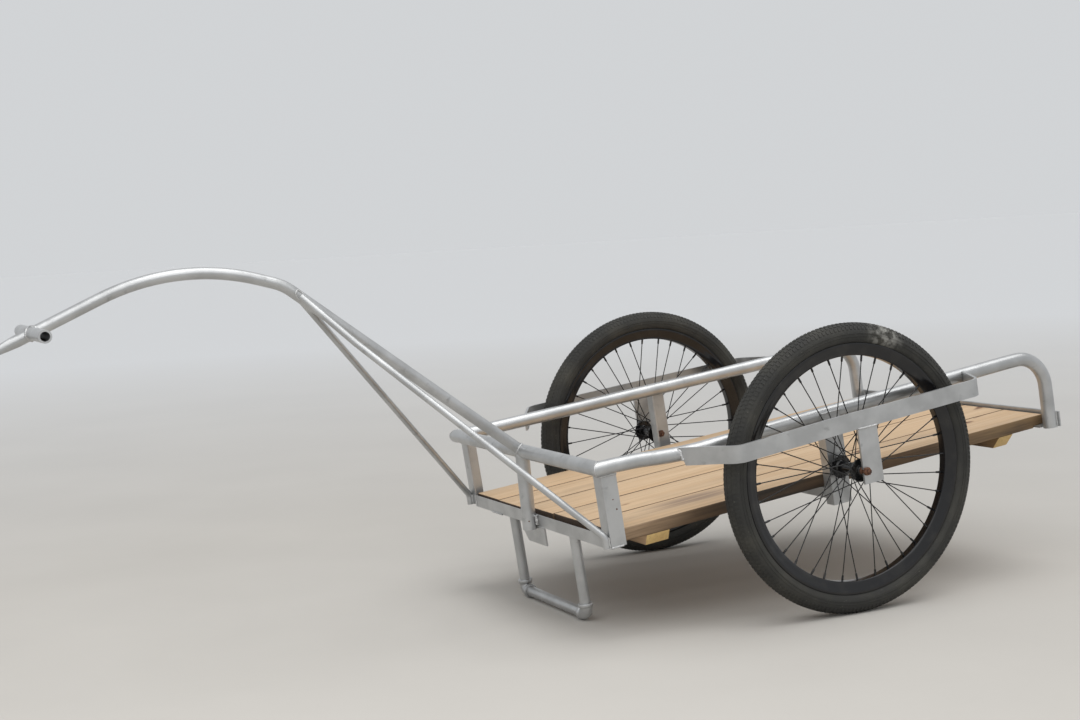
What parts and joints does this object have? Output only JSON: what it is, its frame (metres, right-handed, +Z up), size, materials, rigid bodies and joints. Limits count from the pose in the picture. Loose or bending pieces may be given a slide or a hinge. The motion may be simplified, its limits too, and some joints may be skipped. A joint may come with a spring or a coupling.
{
  "type": "bicycle trailer",
  "caption": "Two-wheeled bicycle trailer of welded silver pipe: plank deck between side rails, arched drawbar with pull handle, wire wheels, and a pipe stand it parks on.",
  "frame": {"origin": "middle of the trailer's box, on the floor, as it parks on its stand", "axes": "+X forward to the coupling, +Y to the left wheel, +Z up"},
  "size_m": [2.559, 1.104, 0.8783],
  "materials": {
    "silver_paint": "hand-brushed aluminium paint, satin, scuffed at the welds",
    "pine": "sawn, untreated",
    "tyre_rubber": "weathered, dusty",
    "black_enamel": "gloss black",
    "rusty_steel": "rusted"
  },
  "bodies": {
    "frame": {"axle_beam": "silver_paint", "axle_nuts_left": "rusty_steel", "axle_nuts_right": "rusty_steel", "batten_front": "pine", "batten_rear": "pine", "brace_left": "silver_paint", "brace_right": "silver_paint", "coupling_tongue": "silver_paint", "drawbar": "silver_paint", "front_centre_post": "silver_paint", "front_crossmember": "silver_paint", "front_post_left": "silver_paint", "front_post_right": "silver_paint", "front_rail": "silver_paint", "front_tab": "silver_paint", "outer_dropout_left": "silver_paint", "outer_dropout_right": "silver_paint", "outrigger_left": "silver_paint", "outrigger_right": "silver_paint", "plank_1": "pine", "plank_2": "pine", "plank_3": "pine", "plank_4": "pine", "plank_5": "pine", "pull_handle": "silver_paint", "rear_crossmember": "silver_paint", "side_rail_left": "silver_paint", "side_rail_right": "silver_paint", "stand_elbow_left": "silver_paint", "stand_elbow_right": "silver_paint", "stand_foot": "silver_paint", "stand_leg_left": "silver_paint", "stand_leg_right": "silver_paint", "stub_axle_left": "rusty_steel", "stub_axle_right": "rusty_steel", "wheel_carrier_left": "silver_paint", "wheel_carrier_right": "silver_paint"},
    "wheel_left": {"tyre_left": "tyre_rubber", "rim_left": "black_enamel", "spoked_hub_left": "black_enamel"},
    "wheel_right": {"tyre_right": "tyre_rubber", "rim_right": "black_enamel", "spoked_hub_right": "black_enamel"}
  },
  "joints": [
    {"name": "wheel_left_spin", "type": "hinge", "parent": "frame", "child": "wheel_left", "pos_m": [-0.60302, 0.477, 0.335], "axis": [0, 1, 0], "continuous": true},
    {"name": "wheel_right_spin", "type": "hinge", "parent": "frame", "child": "wheel_right", "pos_m": [-0.60302, -0.477, 0.335], "axis": [0, 1, 0], "continuous": true}
  ]
}
